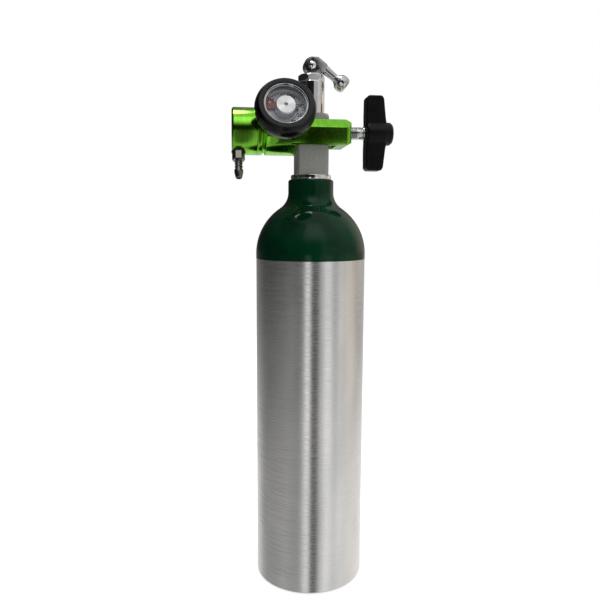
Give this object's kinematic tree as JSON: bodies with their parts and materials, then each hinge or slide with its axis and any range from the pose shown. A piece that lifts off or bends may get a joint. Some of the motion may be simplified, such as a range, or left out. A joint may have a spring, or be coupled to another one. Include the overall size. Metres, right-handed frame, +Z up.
{
  "type": "medical oxygen cylinder with regulator",
  "caption": "Small medical oxygen cylinder with a green shoulder, toggle post valve, yoke regulator, booted pressure gauge, hose barb and black T-handle clamp screw.",
  "frame": {"origin": "on the cylinder's axis, in the plane of the foot that it stands on", "axes": "+Z up along the cylinder's axis; +X along the regulator from the flow head to the T-handle; -Y is the side that the gauge faces"},
  "size_m": [0.1194, 0.0841, 0.3911],
  "materials": {
    "body_aluminium": "satin, brushed round the cylinder",
    "shoulder_green": "gloss",
    "seal_rubber": "matt",
    "steel": "satin",
    "valve_nickel": "satin nickel plate on a cast block",
    "polished_chrome": "polished",
    "ptfe": "matt",
    "brass": "satin",
    "bronze_filter": "rough, sintered",
    "bronze_tube": "satin",
    "anodised_green": "anodised over fine turning lines",
    "barb_nickel": "satin nickel plate",
    "gauge_black": "satin",
    "boot_rubber": "matt",
    "lens_clear": "clear",
    "dial_print": "printed, satin",
    "pointer_aluminium": "turned",
    "screw_chrome": "polished",
    "handle_nylon": "matt, moulded"
  },
  "bodies": {
    "cylinder": {"cylinder_shell": "body_aluminium", "shoulder_paint": "shoulder_green", "neck_o_ring": "seal_rubber", "debris_tube": "steel", "valve_body": "valve_nickel", "gland_nut": "polished_chrome", "stem_packing": "ptfe", "safety_plug": "brass", "burst_disc": "brass", "regulator_body": "anodised_green", "regulator_head": "anodised_green", "head_o_ring": "seal_rubber", "inlet_nipple": "brass", "inlet_filter": "bronze_filter", "seal_washer": "brass", "index_pins": "steel", "nozzle": "brass", "stem_o_ring": "seal_rubber", "piston_spring": "steel", "flow_orifice": "brass", "barb_washer": "seal_rubber", "hose_barb": "barb_nickel", "gauge_stem": "brass", "gauge_case": "gauge_black", "gauge_boot": "boot_rubber", "gauge_bezel": "polished_chrome", "gauge_lens": "lens_clear", "gauge_dial": "dial_print", "gauge_movement": "brass", "bourdon_tube": "bronze_tube"},
    "spindle_unit": {"spindle": "steel", "toggle_pin": "polished_chrome"},
    "lever_unit": {"toggle_lever": "polished_chrome"},
    "seat_unit": {"seat_plug": "brass", "seat_insert": "ptfe"},
    "piston_unit": {"piston": "steel", "piston_o_ring": "seal_rubber", "piston_seat": "ptfe"},
    "pointer_unit": {"gauge_pointer": "pointer_aluminium"},
    "pad_unit": {"pressure_pad": "steel"},
    "handle_unit": {"clamp_screw": "screw_chrome", "t_handle": "handle_nylon", "handle_pin": "steel"}
  },
  "joints": [
    {"name": "toggle_turn", "type": "hinge", "parent": "cylinder", "child": "spindle_unit", "pos_m": [0, 0, 0.3852], "axis": [0, 0, 1], "range_deg": [0, 180]},
    {"name": "toggle_fold", "type": "hinge", "parent": "spindle_unit", "child": "lever_unit", "pos_m": [0, 0, 0.3852], "axis": [0, -1, 0], "range_deg": [0, 100]},
    {"name": "seat_lift", "type": "slide", "parent": "spindle_unit", "child": "seat_unit", "axis": [0, 0, 1], "range_m": [0, 0.0015]},
    {"name": "reg_piston", "type": "slide", "parent": "cylinder", "child": "piston_unit", "axis": [1, 0, 0], "range_m": [0, 0.001], "stiffness_N_per_m": 2000, "springref_m": -0.0005, "deforming": ["piston_spring"]},
    {"name": "gauge_needle", "type": "hinge", "parent": "cylinder", "child": "pointer_unit", "pos_m": [-0.0219, -0.0306, 0.35066], "axis": [0, 0.9272, -0.3746], "range_deg": [0, 240]},
    {"name": "clamp_travel", "type": "slide", "parent": "cylinder", "child": "pad_unit", "axis": [1, 0, 0], "range_m": [0, 0.006]},
    {"name": "clamp_turn", "type": "hinge", "parent": "pad_unit", "child": "handle_unit", "pos_m": [0.04, 0, 0.3383], "axis": [1, 0, 0], "range_deg": [0, 720]}
  ],
  "couplings": [
    {"joint": "seat_lift", "follows": "toggle_turn", "m_per_rad": 0.000477},
    {"joint": "clamp_travel", "follows": "clamp_turn", "m_per_rad": 0.000477}
  ]
}
